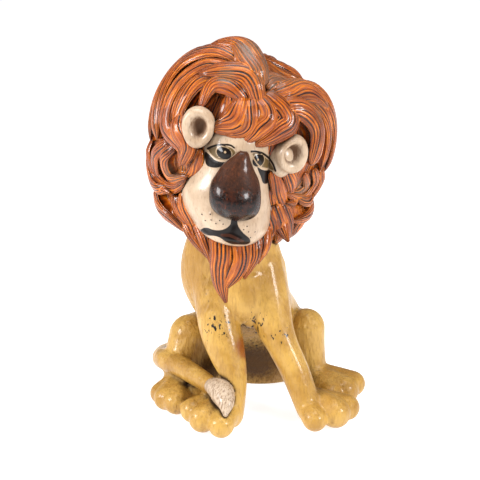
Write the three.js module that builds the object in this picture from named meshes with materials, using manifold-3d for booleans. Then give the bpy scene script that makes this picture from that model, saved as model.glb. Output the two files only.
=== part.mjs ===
// A comic lion figurine, cast in one piece and painted: it sits with its front legs apart, a small body
// under a huge head of swept hair, the tail laid forward over one hind foot.
// Millimetres, +Z up. The lion looks towards -Y, and +X is on the viewer's right.

import * as THREE from 'three';
import { LoftGeometry } from 'three/addons/geometries/LoftGeometry.js';
import { mergeVertices } from 'three/addons/utils/BufferGeometryUtils.js';
import Module from 'manifold-3d';

const wasm = await Module();
wasm.setup();

// Driving dimensions

// Moves the middle of the footprint to the origin.
const CENTRING = new THREE.Vector3(0.8, 9.6, 0);

// Everything below the flat underside is cut away.
const CUT_SIZE = 600;

// The head is turned, tipped and leant on the neck. Its own axes are x right, y back, z up.
const HEAD_PLACE = new THREE.Vector3(-33, -17, 312);
const HEAD_TURN = 8;
const HEAD_TIP = 4;
const HEAD_LEAN = 11;

// The mane is combed over two egg-shaped masses, the scalp and a wider one at the jowls.
const SCALP = { at: [14, 12, 6], radii: [92, 77, 100] };
const JOWLS = { at: [21, 6, -64], radii: [83, 60, 52] };
const MANE_MIDDLE = new THREE.Vector3(...SCALP.at);

// The scalp dips where the hair parts, behind the crest.
const PARTING = { at: [34, 62], depth: 19, spread: 20 };

// Round the sides and the back the locks hang side by side from crown to nape, in shallow waves.
const HANGING = { first: 80, last: 284, locks: 11, ridges: [-5, 5, 3], wave: 9, swell: 3 };
const FRONT_TURNS = [-60, -40, -20, 0, 20, 40, 60];
const SHELL_RISES = [-80, -65, -50, -35, -20, -4, 12, 28, 44, 60, 76];

// A lock of hair: widest at this share of its length, and narrower where it starts. Where it starts it has
// this share of its lift.
const LOCK_PEAK = 0.4;
const LOCK_ROOT = 0.6;
const LOCK_THICKNESS = 0.55;
const LOCK_SUNK = 0.5;
const LOCK_STEP_ANGLE = 38;
const LOCK_ANGLES = [0, 60, 120, 180, 270];
const LOCK_ENDS = 0.09;
const LOCK_BLUNT = 0.2;
const KEEL_DEPTH = 16;

// Points closer together than this are one point.
const WELD = 1e-4;

const LIMB_SIDES = 8;
const TRUNK_SIDES = 12;
const TOE_SIDES = 7;
const BEARD_SIDES = 6;
const EAR_SIDES = 9;
const NOSE_SIDES = 9;
const BALL_SIDES = 8;

const FRONT = new THREE.Vector3(0, -1, 0);
const UP = new THREE.Vector3(0, 0, 1);

const COAT = { color: 0xc8602a, roughness: 0.35, metalness: 0 };

// Each limb is a line of stations from root to end: x, y, z, half its width and half its depth.

const TRUNK = [
  [3, 76, -14, 42, 32],
  [3, 70, 10, 56, 40],
  [2, 64, 38, 62, 47],
  [-2, 50, 72, 58, 48],
  [-12, 24, 104, 54, 45],
  [-25, -6, 142, 60, 42],
  [-31, -15, 173, 60, 40],
  [-30, -15, 225, 45, 34],
];

const RIGHT_FORELEG = [
  [-60, -18, 182, 24, 24],
  [-52, -34, 142, 23.5, 25],
  [-45, -50, 106, 24, 24],
  [-36, -64, 78, 20.5, 20],
  [-28, -76, 50, 14, 16],
  [-31, -87, 16, 13.5, 17],
];

const LEFT_FORELEG = [
  [2, -18, 180, 24, 24],
  [8, -33, 142, 26, 25],
  [17, -47, 108, 22, 22],
  [27, -57, 86, 18, 18],
  [41, -67, 58, 16.5, 17],
  [57, -79, 18, 15, 17],
];

const RIGHT_THIGH = [
  [-36, 62, 46, 36, 40],
  [-62, 42, 60, 32, 34],
  [-82, 18, 70, 26, 26],
];

const RIGHT_SHIN = [
  [-83, 18, 70, 25, 25],
  [-90, 6, 44, 23, 22],
  [-94, -4, 18, 20, 20],
];

const LEFT_THIGH = [
  [42, 62, 48, 34, 38],
  [53, 42, 65, 28, 30],
  [58, 22, 79, 23, 23],
];

const LEFT_SHIN = [
  [59, 20, 80, 22, 23],
  [63, 12, 50, 18, 19],
  [66, 6, 20, 18, 20],
];

const CHEST = [
  [-24, -36, 160, 34, 24],
  [-16, -44, 130, 26, 20],
  [-9, -45, 115, 12, 12],
];

const RIGHT_HEEL = [
  [-58, 38, 26, 26, 26],
  [-82, 4, 22, 23, 22],
  [-76, -30, 14, 18, 16],
];

// Toes: where each one leaves the foot, where it ends, and how thick it is.
const TOES = [
  { from: [-30, -82, 24], to: [-43, -115, 14.5], thick: 14.5 },
  { from: [-40, -76, 24], to: [-64, -100, 15.5], thick: 16 },
  { from: [-44, -60, 22], to: [-76, -75, 14], thick: 14.5 },
  { from: [52, -76, 24], to: [62, -99, 14], thick: 14 },
  { from: [60, -66, 24], to: [86, -87, 16.5], thick: 17.5 },
  { from: [66, -56, 20], to: [101, -67, 14], thick: 15 },
  { from: [-92, -8, 20], to: [-96, -53, 14.5], thick: 15 },
  { from: [-96, -2, 20], to: [-109, -41, 14], thick: 14.5 },
  { from: [-98, 6, 18], to: [-116, -25, 13], thick: 13 },
  { from: [64, 2, 22], to: [86, -33, 15], thick: 16 },
  { from: [68, 4, 24], to: [102, -25, 17], thick: 17 },
  { from: [72, 10, 24], to: [113, -8, 18], thick: 15.5 },
];

const TAIL = [
  [-4, 84, 24, 14, 14],
  [-64, 94, 24, 13.5, 13.5],
  [-106, 69, 28, 13, 13],
  [-117, 36, 35, 13, 13],
  [-110, 4, 43, 13, 13],
  [-92, -20, 45, 12.5, 13],
  [-70, -48, 43, 11, 12],
  [-52, -74, 42, 9.5, 10.5],
];

const TAIL_TUFT = [
  [-54, -72, 44, 9, 10],
  [-43, -91, 44, 14, 13],
  [-38, -108, 38, 10, 9],
  [-38, -120, 30, 3, 3],
];

// The face and the nose, in the head's own axes, as level sections from the top down: x, y, z, half the
// width and half the depth.
const FACE = [
  [0, -18, 54, 18, 20],
  [0, -23, 42, 34, 38],
  [0, -26, 24, 42, 48],
  [2, -28, 0, 43.5, 51],
  [2, -30, -20, 45, 52],
  [1, -31, -40, 49.5, 53],
  [3, -32, -56, 51, 54],
  [6, -34, -68, 49, 52],
  [9, -39, -79, 43, 47],
  [9, -46, -86, 36, 39],
  [9, -52, -91, 27, 29],
  [10, -56, -95, 11, 12],
];

// Soft rises and dips of the face's front: x, z, reach across and down, and height.
const FACE_SWELLS = [
  [-19, 7, 13, 8, 2.4],
  [20, 6, 12, 8, 2.4],
  [-18.5, 8, 5, 4.5, 1.4],
  [19, 6.5, 4.5, 4.5, 1.4],
  [-16, -63, 13, 11, 4],
  [25, -67, 13, 12, 4],
  [5, -64, 5, 9, -2.5],
  [8, -82, 14, 4, 3.2],
  [-21, -80, 5, 4, -3],
  [4, 24, 20, 10, 2],
  [2, 0, 6, 20, 2],
];

const NOSE = [
  [1, -80, 14, 4, 2],
  [1, -81, 12, 6, 4],
  [0, -81, 6, 10, 8],
  [-1, -81, -3, 16.5, 12],
  [0, -82, -14, 23, 18],
  [0, -84, -25, 27, 24],
  [1, -86, -36, 28, 25.5],
  [2, -87, -46, 26.5, 23],
  [3, -86, -54, 21, 16],
  [5, -84, -60, 10, 6],
  [5, -83, -61, 4, 2],
];

// The face has a point at each of these angles, closer together in front.
const FACE_ANGLES = [0, 25, 45, 60, 75, 90, 105, 120, 135, 155, 180, 225, 270, 315];
const FACE_SECTIONS = 14;
const NOSE_SECTIONS = 8;

// An ear is a rounded cup: its profile from the hollow over the rim to the back, as shares of its radii.
const EAR_PROFILE = [
  [0.05, 0.08],
  [0.25, 0.1],
  [0.5, -0.5],
  [0.75, -1],
  [1, -0.15],
  [0.9, 0.75],
  [0.2, 1],
];

const EARS = [
  { at: [-48, -58, 27], radii: [17.5, 10, 22.5], turn: -16, lean: 6, hollow: [3, 3] },
  { at: [56, -62, 15], radii: [17.5, 10, 22.5], turn: 14, lean: 4, hollow: [-4, 4] },
];

// Where the right ear grows out of the face.
const EAR_ROOT = { at: [47, -58, 5], radii: [15, 12, 19] };

// Beard tufts: x, y, z and half width at each station.
const BEARD = [
  [
    [-2, -64, -86, 13],
    [2, -70, -106, 13],
    [4, -70, -121, 12],
    [9, -70, -141, 9],
    [18, -68, -161, 2.5],
  ],
  [
    [20, -66, -86, 13],
    [24, -72, -107, 12],
    [20, -73, -124, 11],
    [14, -71, -140, 6],
    [12, -70, -150, 2.5],
  ],
  [
    [32, -60, -84, 12],
    [37, -70, -101, 9],
    [35, -71, -116, 6],
    [33, -71, -129, 2],
  ],
  [
    [46, -50, -78, 12],
    [48, -62, -94, 8],
    [45, -68, -110, 2],
  ],
  [
    [-20, -42, -86, 11],
    [-14, -56, -100, 8],
    [-3, -66, -124, 2],
  ],
  [
    [60, -38, -64, 13],
    [68, -46, -75, 9],
    [76, -53, -85, 2.5],
  ],
  [
    [-34, -24, -86, 12],
    [-25, -40, -100, 9],
    [-10, -56, -116, 2.5],
  ],
];

// Hair. A place on the scalp is its turn from the face towards the viewer's right and its rise above
// level, in degrees. A lock follows a path of such places, lies a lift above the scalp, and keeps a share
// of its width at its tip.

const LOCKS = [
  { name: 'crest', path: [[-2, 44], [-15, 58], [-48, 70], [-84, 58]], wide: 16, lift: 16, tip: 0.2 },
  {
    name: 'side sweep',
    path: [[-60, 62], [-104, 39], [-96, 16], [-88, -10]],
    wide: 14,
    lift: 11,
    tip: 0.4,
  },
  {
    name: 'top sweep',
    path: [[-19, 60], [-71, 58], [-92, 38], [-85, 15], [-72, -5]],
    wide: 14,
    lift: 11,
    tip: 0.6,
  },
  {
    name: 'middle sweep',
    path: [[-25, 51], [-60, 48], [-72, 28], [-66, 5], [-47, -4], [-48, -16]],
    wide: 11,
    lift: 9,
    tip: 0.35,
  },
  { name: 'low sweep', path: [[-38, 44], [-56, 33], [-59, 15], [-53, 3]], wide: 11, lift: 7, tip: 0.3 },
  { name: 'brim', path: [[-2, 33], [-15, 47], [-36, 47], [-56, 39]], wide: 13, lift: 14, tip: 0.3 },
  { name: 'ear curl', path: [[-11, 33], [-27, 38], [-40, 35], [-41, 20]], wide: 11, lift: 11, tip: 0.3 },
  { name: 'ear curl leg', path: [[-19, 38], [-22, 27], [-26, 17]], wide: 11, lift: 6, tip: 0.2 },
  { name: 'forelock a', path: [[-12, 33], [-17, 19], [-29, 11]], wide: 15, lift: 10, tip: 0.2 },
  { name: 'forelock b', path: [[-9, 35], [-7, 24], [-10, 16], [-19, 10]], wide: 12, lift: 11, tip: 0.2 },
  { name: 'forelock c', path: [[-5, 37], [4, 25], [-1, 16], [-9, 8]], wide: 12, lift: 11, tip: 0.2 },
  { name: 'forelock d', path: [[0, 41], [19, 26], [12, 17], [-2, 7]], wide: 15, lift: 9, tip: 0.2 },
  { name: 'right top', path: [[3, 44], [22, 55], [50, 52]], wide: 15, lift: 9, tip: 0.2 },
  { name: 'right crown', path: [[10, 41], [44, 45], [68, 30]], wide: 16, lift: 12, tip: 0.2 },
  { name: 'right edge', path: [[48, 58], [70, 36], [80, 12], [70, -8]], wide: 12, lift: 10, tip: 0.5 },
  { name: 'right outer', path: [[29, 46], [54, 38], [66, 18], [62, -6]], wide: 10, lift: 8, tip: 0.4 },
  { name: 'ear cover', path: [[13, 33], [30, 32], [43, 20], [42, -1]], wide: 13, lift: 12, tip: 0.75 },
  {
    name: 'right crescent',
    path: [[66, -6], [73, -18], [64, -29], [36, -27]],
    wide: 10,
    lift: 9,
    tip: 0.35,
  },
  { name: 'right bowl', path: [[55, -6], [66, -17], [56, -26], [31, -21]], wide: 8, lift: 6, tip: 0.3 },
  { name: 'right tip a', path: [[80, -29], [70, -34], [45, -37]], wide: 9, lift: 4, tip: 0.2 },
  { name: 'right tip b', path: [[64, -34], [57, -41], [64, -51]], wide: 9, lift: 2, tip: 0.2 },
  { name: 'right cheek a', path: [[15, -7], [26, -20], [40, -34], [62, -50]], wide: 9, lift: 3, tip: 0.2 },
  {
    name: 'right cheek b',
    path: [[19, -19], [31, -32], [42, -45], [57, -56]],
    wide: 9,
    lift: 2,
    tip: 0.2,
  },
  { name: 'left hook', path: [[-56, 14], [-51, 5], [-42, -2], [-45, -14]], wide: 12, lift: 11, tip: 0.4 },
  {
    name: 'left curl out',
    path: [[-63, -4], [-78, -18], [-80, -31], [-58, -33], [-42, -22]],
    wide: 10,
    lift: 9,
    tip: 0.3,
  },
  { name: 'left curl', path: [[-56, -5], [-64, -16], [-58, -26], [-41, -20]], wide: 8, lift: 8, tip: 0.3 },
  {
    name: 'left edge',
    path: [[-94, -9], [-91, -22], [-86, -34], [-56, -38]],
    wide: 10,
    lift: 12,
    tip: 0.3,
  },
  { name: 'left tip', path: [[-62, -34], [-84, -34], [-94, -20]], wide: 9, lift: 17, tip: 0.1 },
  {
    name: 'left side',
    path: [[-92, -37], [-78, -46], [-58, -50], [-43, -57]],
    wide: 11,
    lift: 8,
    tip: 0.2,
  },
  {
    name: 'left low',
    path: [[-58, -38], [-51, -46], [-43, -56], [-38, -71]],
    wide: 10,
    lift: 2,
    tip: 0.2,
  },
  {
    name: 'left cheek',
    path: [[-49, -30], [-46, -40], [-38, -50], [-27, -67]],
    wide: 9,
    lift: 2,
    tip: 0.2,
  },
];

// Shapes

const degrees = THREE.MathUtils.degToRad;
const vector = ([x, y, z]) => new THREE.Vector3(x, y, z);

// One elliptical cross-section, square to the line it is swept along, with a point at each angle.
// A keel takes its lowest point further in, down to what the form lies on.
function ringAt({ middle, along, out, wide, deep, keel = deep }, angles) {
  const across = new THREE.Vector3().crossVectors(out, along).normalize();
  const away = new THREE.Vector3().crossVectors(along, across);
  return angles.map((angle) => {
    const height = angle > 180 ? keel : deep;
    return middle
      .clone()
      .addScaledVector(across, wide * Math.cos(degrees(angle)))
      .addScaledVector(away, height * Math.sin(degrees(angle)));
  });
}

const roundAngles = (sides) => Array.from({ length: sides }, (_, side) => (360 * side) / sides);

// Shrinking sections past an end, which close a sweep with a dome.
function dome(end, way) {
  return [0.5, 0.87].map((reach) => {
    const shrink = Math.sqrt(1 - reach * reach);
    const middle = end.middle.clone().addScaledVector(end.along, way * reach * end.deep);
    return { ...end, middle, wide: end.wide * shrink, deep: end.deep * shrink };
  });
}

function loftThrough(rings) {
  return new THREE.BufferGeometry().copy(new LoftGeometry(rings, { capStart: true, capEnd: true }));
}

function loft(sections, angles) {
  return loftThrough(sections.map((section) => ringAt(section, angles)));
}

// Level sections from the top down, with a point at each angle from the right by the front.
function levelLoft(stations, count, angles) {
  const line = smooth(stations.map(vector));
  const girth = smooth(stations.map(([, , , wide, deep]) => new THREE.Vector3(wide, deep, 0)));
  const rings = Array.from({ length: count }, (_, i) => {
    const middle = line.getPoint(i / (count - 1));
    const size = girth.getPoint(i / (count - 1));
    return angles.map((angle) => {
      const around = new THREE.Vector3(Math.cos(degrees(angle)), -Math.sin(degrees(angle)), 0);
      return around.multiply(size).add(middle);
    });
  });
  return loftThrough(rings);
}

// The face with its front pushed out at the eyes and the pads, and in beside them.
function swollen(geometry) {
  const place = geometry.getAttribute('position');
  for (let i = 0; i < place.count; i += 1) {
    const front = THREE.MathUtils.clamp((-40 - place.getY(i)) / 25, 0, 1);
    const rise = FACE_SWELLS.reduce((sum, [x, z, across, down, height]) => {
      const off = ((place.getX(i) - x) / across) ** 2 + ((place.getZ(i) - z) / down) ** 2;
      return sum + height * Math.exp(-off);
    }, 0);
    place.setY(i, place.getY(i) - front * rise);
  }
  return geometry;
}

// A limb through its stations, on a smooth line. Its root may stay blunt inside what carries it.
function limb(stations, options = {}) {
  const { sides = LIMB_SIDES, steps = Math.ceil(1.3 * stations.length), out = FRONT } = options;
  const { roundRoot = false, roundEnd = false } = options;
  const line = smooth(stations.map(([x, y, z]) => new THREE.Vector3(x, y, z)));
  const girth = smooth(stations.map(([, , , wide, deep]) => new THREE.Vector3(wide, deep, 0)));
  const sections = Array.from({ length: steps }, (_, i) => {
    const t = i / (steps - 1);
    const size = girth.getPoint(t);
    return { middle: line.getPoint(t), along: line.getTangent(t), out, wide: size.x, deep: size.y };
  });
  const rootDome = roundRoot ? dome(sections[0], -1).reverse() : [];
  const endDome = roundEnd ? dome(sections[steps - 1], 1) : [];
  return loft([...rootDome, ...sections, ...endDome], roundAngles(sides));
}

function smooth(points) {
  return new THREE.CatmullRomCurve3(points, false, 'catmullrom', 0.5);
}

function toe({ from, to, thick }) {
  const root = [...from, thick * 0.9, thick * 0.9];
  const end = [...to, thick, thick];
  return limb([root, end], { sides: TOE_SIDES, steps: 2, out: UP, roundEnd: true });
}

const onBall = ([turn, rise]) =>
  new THREE.Vector3(
    Math.sin(degrees(turn)) * Math.cos(degrees(rise)),
    -Math.cos(degrees(turn)) * Math.cos(degrees(rise)),
    Math.sin(degrees(rise)),
  );

// A direction from the middle of the mane. Rise is measured on the scalp's egg, not on a ball.
const onScalp = (direction) => direction.normalize().multiply(vector(SCALP.radii)).normalize();
const bearing = (place) => onScalp(onBall(place));

// The middle line of a lock, as points on the scalp with the way out from it.
function combed({ path, lift }, t) {
  const way = onScalp(smooth(path.map(onBall)).getPoint(THREE.MathUtils.clamp(t, 0, 1)));
  return liftedPoint(way, lift * Math.min(1, LOCK_SUNK + t / LOCK_PEAK));
}

// How far an egg's surface lies from the middle of the mane along a direction.
function reachOf(egg, way) {
  const radii = vector(egg.radii);
  const ray = way.clone().divide(radii);
  const start = MANE_MIDDLE.clone().sub(vector(egg.at)).divide(radii);
  const a = ray.lengthSq();
  const b = ray.dot(start);
  const inside = b * b - a * (start.lengthSq() - 1);
  return inside > 0 ? (Math.sqrt(inside) - b) / a : 0;
}

// The place above the scalp in that direction, with the way out from it.
function liftedPoint(way, lift) {
  const egg = reachOf(JOWLS, way) > reachOf(SCALP, way) ? JOWLS : SCALP;
  const off = THREE.MathUtils.radToDeg(way.angleTo(bearing(PARTING.at))) / PARTING.spread;
  const reach = reachOf(egg, way) - PARTING.depth * Math.exp(-off * off);
  const point = MANE_MIDDLE.clone().addScaledVector(way, reach);
  const out = point.clone().sub(vector(egg.at));
  out.divide(vector(egg.radii)).divide(vector(egg.radii)).normalize();
  return { point: point.addScaledVector(out, lift), out };
}

function lockWidth(t, tip) {
  const past = Math.max(0, (t - LOCK_PEAK) / (1 - LOCK_PEAK));
  const swell = LOCK_ROOT + (1 - LOCK_ROOT) * Math.sin((Math.PI / 2) * (t / LOCK_PEAK));
  const taper = tip + (1 - tip) * Math.cos((Math.PI / 2) * past);
  const end = Math.sqrt(THREE.MathUtils.clamp((1 - t) / LOCK_ENDS, LOCK_BLUNT, 1));
  return (t < LOCK_PEAK ? swell : taper) * end;
}

function pathAngle(path) {
  const ways = path.map(bearing);
  return ways.slice(1).reduce((sum, way, i) => sum + way.angleTo(ways[i]), 0);
}

function lock(record) {
  const steps = 3 + Math.round(pathAngle(record.path) / degrees(LOCK_STEP_ANGLE));
  const sections = Array.from({ length: steps }, (_, i) => {
    const t = i / (steps - 1);
    const { point, out } = combed(record, t);
    const ahead = combed(record, t + 0.01).point;
    const along = ahead.sub(combed(record, t - 0.01).point).normalize();
    const wide = record.wide * lockWidth(t, record.tip);
    const keel = Math.min(1, wide / 6) * (record.lift + KEEL_DEPTH);
    return { middle: point, along, out, wide, deep: wide * LOCK_THICKNESS, keel };
  });
  return loft(sections, LOCK_ANGLES);
}

function tuft(stations) {
  const rows = stations.map(([x, y, z, wide]) => [x, y, z, wide, 0.58 * wide + 1]);
  return limb(rows, { sides: BEARD_SIDES, steps: rows.length + 1, roundRoot: true });
}

// How high the hanging hair stands above the scalp at one column of one lock.
function hangingHeight(index, column, rise) {
  const fade = Math.cos(degrees(rise));
  const swell = HANGING.swell * Math.sin(degrees(4 * rise + 150 * index));
  return (HANGING.ridges[column] + swell) * fade;
}

// The columns of one ring of the mane, each with its turn and its height above the scalp.
function ringColumns(rise) {
  const spread = (HANGING.last - HANGING.first) / HANGING.locks;
  const sway = HANGING.wave * Math.sin(degrees(3 * rise));
  const across = HANGING.ridges.length;
  const hanging = Array.from({ length: HANGING.locks * across }, (_, i) => {
    const index = Math.floor(i / across);
    const turn = HANGING.first + (spread * i) / across + sway;
    return { turn, height: hangingHeight(index, i % across, rise) };
  });
  return [...FRONT_TURNS.map((turn) => ({ turn, height: 0 })), ...hanging];
}

function maneShell() {
  const rings = SHELL_RISES.map((rise) =>
    ringColumns(rise).map(({ turn, height }) => liftedPoint(bearing([turn, rise]), height).point),
  );
  return loftThrough(rings);
}

// Joining

function solid(geometry) {
  geometry.deleteAttribute('normal');
  geometry.deleteAttribute('uv');
  const welded = mergeVertices(geometry, WELD);
  return new wasm.Manifold(
    new wasm.Mesh({
      numProp: 3,
      vertProperties: welded.getAttribute('position').array,
      triVerts: Uint32Array.from(welded.index.array),
    }),
  );
}

const join = (geometries) => geometries.map(solid).reduce((whole, next) => whole.add(next));

function ear({ at, radii, turn, lean, hollow }) {
  const rings = EAR_PROFILE.map(([share, depth], row) => {
    const inside = row < EAR_PROFILE.length / 2 ? 1 - share : 0;
    return roundAngles(EAR_SIDES).map((angle) => {
      const x = hollow[0] * inside + radii[0] * share * Math.cos(degrees(angle));
      const z = hollow[1] * inside - radii[2] * share * Math.sin(degrees(angle));
      return new THREE.Vector3(x, radii[1] * depth, z);
    });
  });
  return loftThrough(rings).rotateY(degrees(lean)).rotateZ(degrees(turn)).translate(...at);
}

function ball({ at, radii }) {
  return new THREE.SphereGeometry(1, BALL_SIDES, BALL_SIDES / 2).scale(...radii).translate(...at);
}

// The head in its own axes: the face, the mane behind it and the locks over both.
function head() {
  const skull = swollen(levelLoft(FACE, FACE_SECTIONS, FACE_ANGLES));
  const nose = levelLoft(NOSE, NOSE_SECTIONS, roundAngles(NOSE_SIDES));
  const features = [skull, nose, ball(EAR_ROOT), ...EARS.map(ear)];
  return join([...features, maneShell(), ...LOCKS.map(lock), ...BEARD.map(tuft)]);
}

function headFrame() {
  const turned = new THREE.Euler(degrees(HEAD_TIP), degrees(HEAD_LEAN), degrees(HEAD_TURN), 'ZXY');
  return new THREE.Matrix4().makeRotationFromEuler(turned).setPosition(HEAD_PLACE);
}

function body() {
  const front = [RIGHT_FORELEG, LEFT_FORELEG, CHEST];
  const back = [RIGHT_THIGH, RIGHT_SHIN, RIGHT_HEEL, LEFT_THIGH, LEFT_SHIN, TAIL_TUFT];
  return join([
    limb(TRUNK, { sides: TRUNK_SIDES }),
    limb(TAIL, { out: UP }),
    ...[...front, ...back].map((stations) => limb(stations, { roundEnd: true })),
    ...TOES.map(toe),
  ]);
}

function floorCut() {
  return new THREE.BoxGeometry(CUT_SIZE, CUT_SIZE, CUT_SIZE).translate(0, 0, -CUT_SIZE / 2);
}

function geometryOf(whole) {
  const mesh = whole.getMesh();
  const geometry = new THREE.BufferGeometry();
  geometry.setAttribute('position', new THREE.BufferAttribute(mesh.vertProperties, 3));
  geometry.setIndex(new THREE.BufferAttribute(mesh.triVerts, 1));
  geometry.computeVertexNormals();
  return geometry;
}

// The outer shell alone, so that no pocket between two locks or toes is left closed inside.
const withoutPockets = (whole) => whole.decompose().find((shell) => shell.volume() > 0);

const whole = body()
  .add(head().transform(headFrame().toArray()))
  .subtract(solid(floorCut()));

const lion = new THREE.Mesh(geometryOf(withoutPockets(whole)), new THREE.MeshStandardMaterial(COAT));
lion.name = 'lion';
lion.position.copy(CENTRING);

const figurine = new THREE.Group();
figurine.add(lion);

export default figurine;
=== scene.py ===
import math

import bpy
import numpy as np
from mathutils import Matrix, Vector
from mathutils.bvhtree import BVHTree


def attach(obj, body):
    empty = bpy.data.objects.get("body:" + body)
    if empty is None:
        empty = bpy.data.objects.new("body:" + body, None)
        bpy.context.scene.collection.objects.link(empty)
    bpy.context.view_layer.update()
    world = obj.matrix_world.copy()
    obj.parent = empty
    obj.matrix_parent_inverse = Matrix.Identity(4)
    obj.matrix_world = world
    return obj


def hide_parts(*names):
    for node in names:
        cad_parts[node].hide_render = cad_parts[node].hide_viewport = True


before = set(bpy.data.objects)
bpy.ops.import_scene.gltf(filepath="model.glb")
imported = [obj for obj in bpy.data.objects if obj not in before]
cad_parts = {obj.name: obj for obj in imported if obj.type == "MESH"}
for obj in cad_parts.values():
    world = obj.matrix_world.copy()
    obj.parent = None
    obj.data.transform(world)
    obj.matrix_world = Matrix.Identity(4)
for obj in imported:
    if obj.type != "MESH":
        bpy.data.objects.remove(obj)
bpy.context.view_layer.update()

# A comic lion figurine in glazed ceramic. Its forms are worked out in millimetres, in the same places as
# the frame's solid, and scaled to metres at the end. The hair is combed into strands, and the paint, the
# painted shade in the hollows, grooves and between the legs, and the chips are shader colours steered by
# values stored on the mesh.

MM = 0.001
CENTRING = np.array([0.8, 9.6, 0.0])
RANDOM = np.random.default_rng(7)

RIGHT = np.array([1.0, 0.0, 0.0])
FRONT = np.array([0.0, -1.0, 0.0])
UP = np.array([0.0, 0.0, 1.0])

# Mesh sizes
BODY_VOXEL = 2.1
FACE_FRONT, FACE_BACK, FACE_STEPS = ((240, 24, 16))
BODY_SOFTENING = 5
STRAND_PITCH = 3.4
STRAND_DEPTH = 1.15
STRAND_COLUMNS = 3
KEEL_SHADE = 0.3
LOCK_ROWS = 30
SHELL_ROWS = 66
SHELL_RADIUS = 95
EAR_ROWS = 56
EAR_SIDES = 72
EAR_ROOT_SIDES = 80
NOSE_SIDES, NOSE_STEPS = 96, 8
TRUNK_SIDES = 44
DOME_RINGS = 6
SHELTER_REACH = 14
SHELTER_RAYS = 14
SHELTER_GAP = 0.25

# The head's own axes
HEAD_PLACE = (-33, -17, 312)
HEAD_TURN, HEAD_TIP, HEAD_LEAN = 8, 4, 11

# The body: x, y, z, half its width and half its depth at each station.
TRUNK = [
    (3, 76, -14, 42, 32), (3, 70, 10, 56, 40), (2, 64, 38, 62, 47), (-2, 50, 72, 58, 48),
    (-12, 24, 104, 54, 45), (-25, -6, 142, 60, 42), (-31, -15, 173, 60, 40), (-30, -15, 225, 45, 34),
]
RIGHT_FORELEG = [
    (-60, -18, 182, 24, 24), (-52, -34, 142, 23.5, 25), (-45, -50, 106, 24, 24),
    (-36, -64, 78, 20.5, 20), (-28, -76, 50, 14, 16), (-31, -87, 16, 13.5, 17),
]
LEFT_FORELEG = [
    (2, -18, 180, 24, 24), (8, -33, 142, 26, 25), (17, -47, 108, 22, 22),
    (27, -57, 86, 18, 18), (41, -67, 58, 16.5, 17), (57, -79, 18, 15, 17),
]
RIGHT_THIGH = [(-36, 62, 46, 36, 40), (-62, 42, 60, 32, 34), (-82, 18, 70, 26, 26)]
RIGHT_SHIN = [(-83, 18, 70, 25, 25), (-90, 6, 44, 23, 22), (-94, -4, 18, 20, 20)]
LEFT_THIGH = [(42, 62, 48, 34, 38), (53, 42, 65, 28, 30), (58, 22, 79, 23, 23)]
LEFT_SHIN = [(59, 20, 80, 22, 23), (63, 12, 50, 18, 19), (66, 6, 20, 18, 20)]
TOES = [
    ((-30, -82, 24), (-43, -115, 14.5), 14.5), ((-40, -76, 24), (-64, -100, 15.5), 16),
    ((-44, -60, 22), (-76, -75, 14), 14.5), ((52, -76, 24), (62, -99, 14), 14),
    ((60, -66, 24), (86, -87, 16.5), 17.5), ((66, -56, 20), (101, -67, 14), 15),
    ((-92, -8, 20), (-96, -53, 14.5), 15), ((-96, -2, 20), (-109, -41, 14), 14.5),
    ((-98, 6, 18), (-116, -25, 13), 13), ((64, 2, 22), (86, -33, 15), 16),
    ((68, 4, 24), (102, -25, 17), 17), ((72, 10, 24), (113, -8, 18), 15.5),
]
TAIL = [
    (-4, 84, 24, 14, 14), (-64, 94, 24, 13.5, 13.5), (-106, 69, 28, 13, 13), (-117, 36, 35, 13, 13),
    (-110, 4, 43, 13, 13), (-92, -20, 45, 12.5, 13), (-70, -48, 43, 11, 12), (-52, -74, 42, 9.5, 10.5),
]
TAIL_TUFT = [(-54, -72, 44, 9, 10), (-43, -91, 44, 14, 13), (-38, -108, 38, 10, 9), (-38, -120, 30, 3, 3)]
CHEST = [(-24, -36, 160, 34, 24), (-16, -44, 130, 26, 20), (-9, -45, 115, 12, 12)]
RIGHT_HEEL = [(-58, 38, 26, 26, 26), (-82, 4, 22, 23, 22), (-76, -30, 14, 18, 16)]

# Where the coat is chipped, where shade is painted and where it is rusty: x, y, z and reach. The
# painted shade lies under the belly, between the legs, in the crotch and by a front paw.
CHIPPED = [
    (0, -54, 110, 18), (-8, -45, 96, 26), (-48, -68, 112, 20), (22, -64, 100, 14), (-58, -64, 148, 12),
    (4, -20, 60, 30),
]
PAINTED_SHADE_PLACES = [
    (0, 40, 50, 38), (-4, 4, 34, 52), (-52, -8, 34, 34), (46, -20, 30, 26), (-4, -36, 98, 16),
    (60, -66, 30, 18),
]
RUSTY = [(-22, -66, 84, 16), (-24, -74, 62, 12), (24, -58, 66, 8), (-4, -42, 102, 12)]

# The face, in the head's own axes.
FACE = [
    (0, -18, 54, 18, 20), (0, -23, 42, 34, 38), (0, -26, 24, 42, 48), (2, -28, 0, 43.5, 51),
    (2, -30, -20, 45, 52), (1, -31, -40, 49.5, 53), (3, -32, -56, 51, 54), (6, -34, -68, 49, 52),
    (9, -39, -79, 43, 47), (9, -46, -86, 36, 39), (9, -52, -91, 27, 29), (10, -56, -95, 11, 12),
]
# Soft rises and dips of the face's front: x, z, reach across and down, and height.
FACE_SWELLS = [
    (-19, 7, 13, 8, 2.4), (20, 6, 12, 8, 2.4), (-18.5, 8, 5, 4.5, 1.4), (19, 6.5, 4.5, 4.5, 1.4),
    (-16, -63, 13, 11, 4), (25, -67, 13, 12, 4), (5, -64, 5, 9, -2.5), (8, -82, 14, 4, 3.2),
    (-21, -80, 5, 4, -3), (4, 24, 20, 10, 2), (2, 0, 6, 20, 2),
]
NOSE = [
    (1, -80, 14, 4, 2), (1, -81, 12, 6, 4), (0, -81, 6, 10, 8), (-1, -81, -3, 16.5, 12),
    (0, -82, -14, 23, 18), (0, -84, -25, 27, 24), (1, -86, -36, 28, 25.5), (2, -87, -46, 26.5, 23),
    (3, -86, -54, 21, 16), (5, -84, -60, 10, 6), (5, -83, -61, 4, 2),
]
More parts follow.
